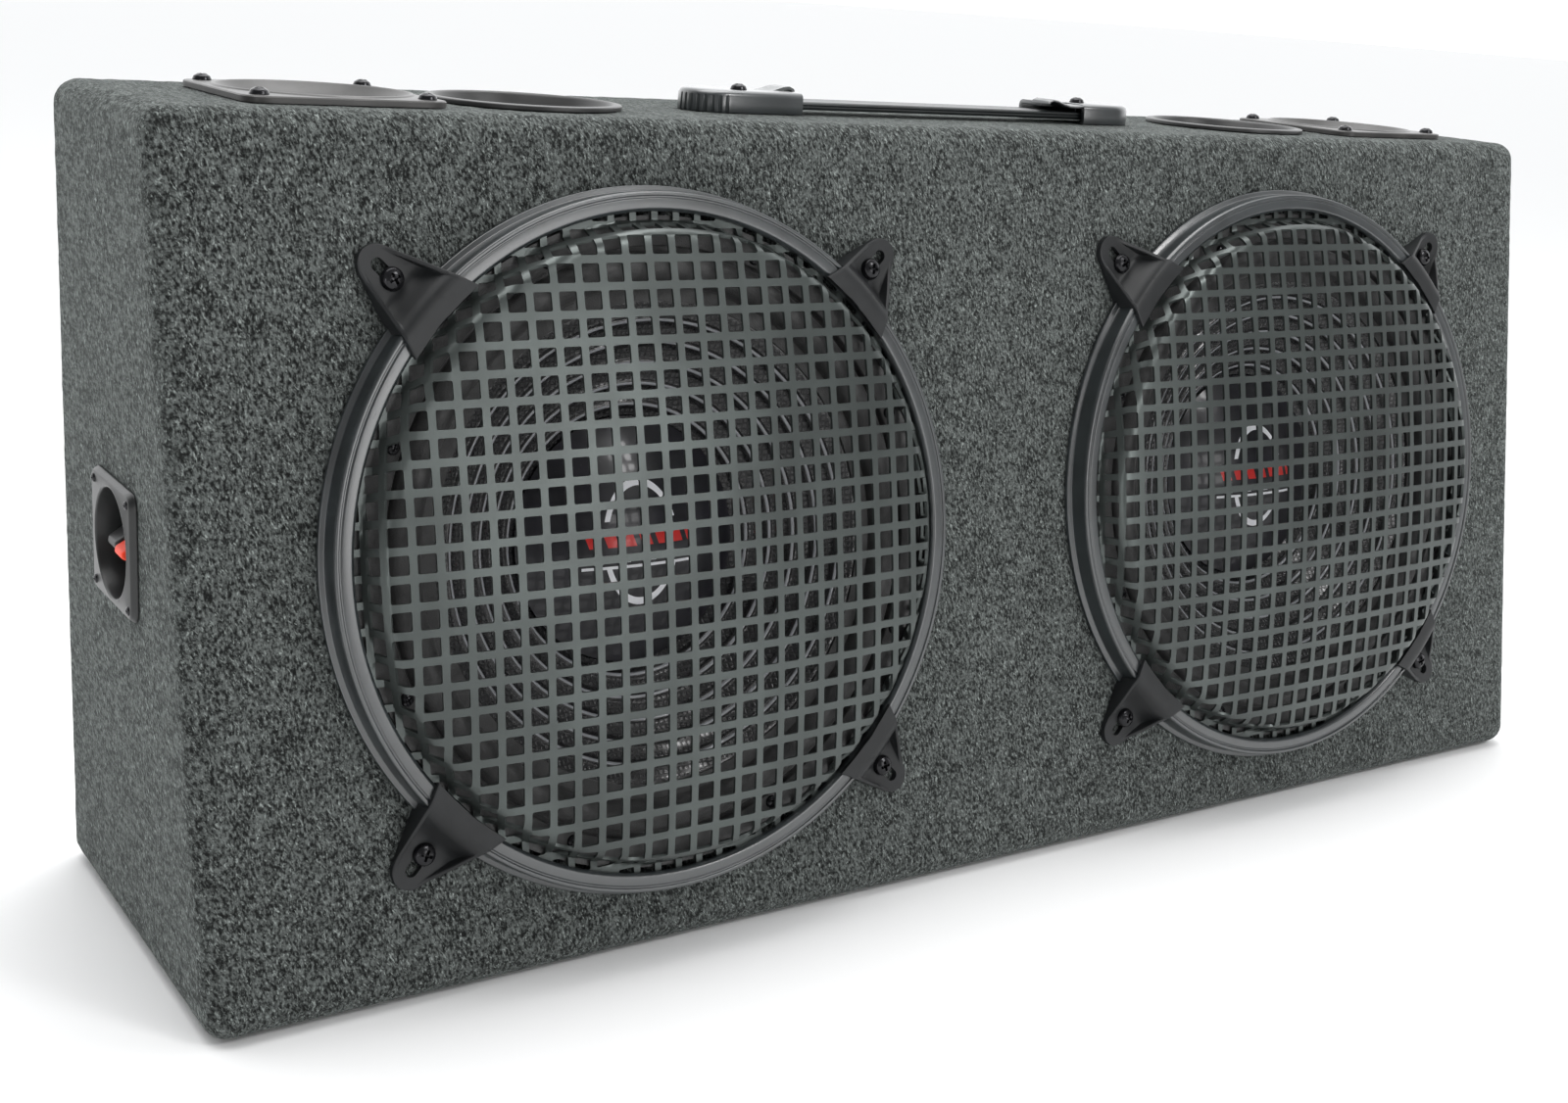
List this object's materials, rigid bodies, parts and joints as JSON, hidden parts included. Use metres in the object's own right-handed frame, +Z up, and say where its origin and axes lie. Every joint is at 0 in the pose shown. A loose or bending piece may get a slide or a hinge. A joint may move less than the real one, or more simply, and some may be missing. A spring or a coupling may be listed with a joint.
{
  "type": "car subwoofer box",
  "caption": "Carpeted wedge-shaped car subwoofer box with round waffle-grilled woofers in its leaning front, horn tweeters, ports and a strap handle on top, and a terminal cup in one side.",
  "frame": {"origin": "centre of the cabinet's carpeted base", "axes": "+Z up, the woofers face -Y (leaning back 10.5 degrees), +X along the cabinet's length with the terminal cup on the -X side"},
  "size_m": [0.8833, 0.2333, 0.401],
  "materials": {
    "carpet": "charcoal heathered needle-punch carpet with a short nap",
    "board": "raw fibreboard",
    "frame_steel": "satin black paint",
    "surround_rubber": "matt brown-black rubber",
    "cone_paper": "black ribbed cone, satin ribs",
    "dust_cap_gloss": "gloss black",
    "copper_wire": "enamelled copper",
    "spider_cloth": "resin-dipped cloth",
    "plated_steel": "zinc plate",
    "ferrite": "dull grey-black ceramic",
    "trim_plastic": "satin dark grey moulded plastic",
    "grille_steel": "satin grey-black paint on steel",
    "black_screw": "black oxide, half gloss",
    "horn_plastic": "matt taupe-grey moulded plastic",
    "port_plastic": "matt dark grey moulded plastic",
    "strap": "satin black moulded strap",
    "cup_plastic": "satin black moulded plastic",
    "red_plastic": "bright red moulded plastic",
    "black_plastic": "black moulded plastic"
  },
  "bodies": {
    "cabinet": {"back_panel": "board", "bottom_panel": "board", "carpet_base": "carpet", "carpet_wrap": "carpet", "center_divider": "board", "front_baffle": "board", "left_basket": "frame_steel", "left_clamp_1": "trim_plastic", "left_clamp_2": "trim_plastic", "left_clamp_3": "trim_plastic", "left_clamp_4": "trim_plastic", "left_clamp_screw_1": "black_screw", "left_clamp_screw_2": "black_screw", "left_clamp_screw_3": "black_screw", "left_clamp_screw_4": "black_screw", "left_grille_mesh": "grille_steel", "left_grille_ring": "trim_plastic", "left_handle_cap": "trim_plastic", "left_magnet": "ferrite", "left_port": "port_plastic", "left_side_panel": "board", "left_spider": "spider_cloth", "left_surround": "surround_rubber", "left_top_plate": "plated_steel", "left_tweeter_horn": "horn_plastic", "left_tweeter_motor": "ferrite", "left_yoke": "plated_steel", "right_basket": "frame_steel", "right_clamp_1": "trim_plastic", "right_clamp_2": "trim_plastic", "right_clamp_3": "trim_plastic", "right_clamp_4": "trim_plastic", "right_clamp_screw_1": "black_screw", "right_clamp_screw_2": "black_screw", "right_clamp_screw_3": "black_screw", "right_clamp_screw_4": "black_screw", "right_grille_mesh": "grille_steel", "right_grille_ring": "trim_plastic", "right_handle_cap": "trim_plastic", "right_magnet": "ferrite", "right_port": "port_plastic", "right_side_panel": "board", "right_spider": "spider_cloth", "right_surround": "surround_rubber", "right_top_plate": "plated_steel", "right_tweeter_horn": "horn_plastic", "right_tweeter_motor": "ferrite", "right_yoke": "plated_steel", "terminal_cup": "cup_plastic", "top_panel": "board"},
    "left_cone_assembly": {"left_cone": "cone_paper", "left_dust_cap": "dust_cap_gloss", "left_voice_coil": "copper_wire"},
    "right_cone_assembly": {"right_cone": "cone_paper", "right_dust_cap": "dust_cap_gloss", "right_voice_coil": "copper_wire"},
    "strap": {"handle_strap": "strap"},
    "red_lever": {"red_terminal_lever": "red_plastic"},
    "black_lever": {"black_terminal_lever": "black_plastic"}
  },
  "joints": [
    {"name": "left_cone_travel", "type": "slide", "parent": "cabinet", "child": "left_cone_assembly", "axis": [0, -0.9833, 0.1822], "range_m": [-0.006, 0.006], "stiffness_N_per_m": 3500, "deforming": ["left_surround", "left_spider"]},
    {"name": "right_cone_travel", "type": "slide", "parent": "cabinet", "child": "right_cone_assembly", "axis": [0, -0.9833, 0.1822], "range_m": [-0.006, 0.006], "stiffness_N_per_m": 3500, "deforming": ["right_surround", "right_spider"]},
    {"name": "handle_lift", "type": "slide", "parent": "cabinet", "child": "strap", "axis": [0, 0, 1], "range_m": [0, 0.022]},
    {"name": "red_lever_press", "type": "hinge", "parent": "cabinet", "child": "red_lever", "pos_m": [-0.4283, 0.0025, 0.2025], "axis": [0, -1, 0], "range_deg": [0, 20], "stiffness_Nm_per_rad": 0.05},
    {"name": "black_lever_press", "type": "hinge", "parent": "cabinet", "child": "black_lever", "pos_m": [-0.4283, 0.0195, 0.2025], "axis": [0, -1, 0], "range_deg": [0, 20], "stiffness_Nm_per_rad": 0.05}
  ]
}
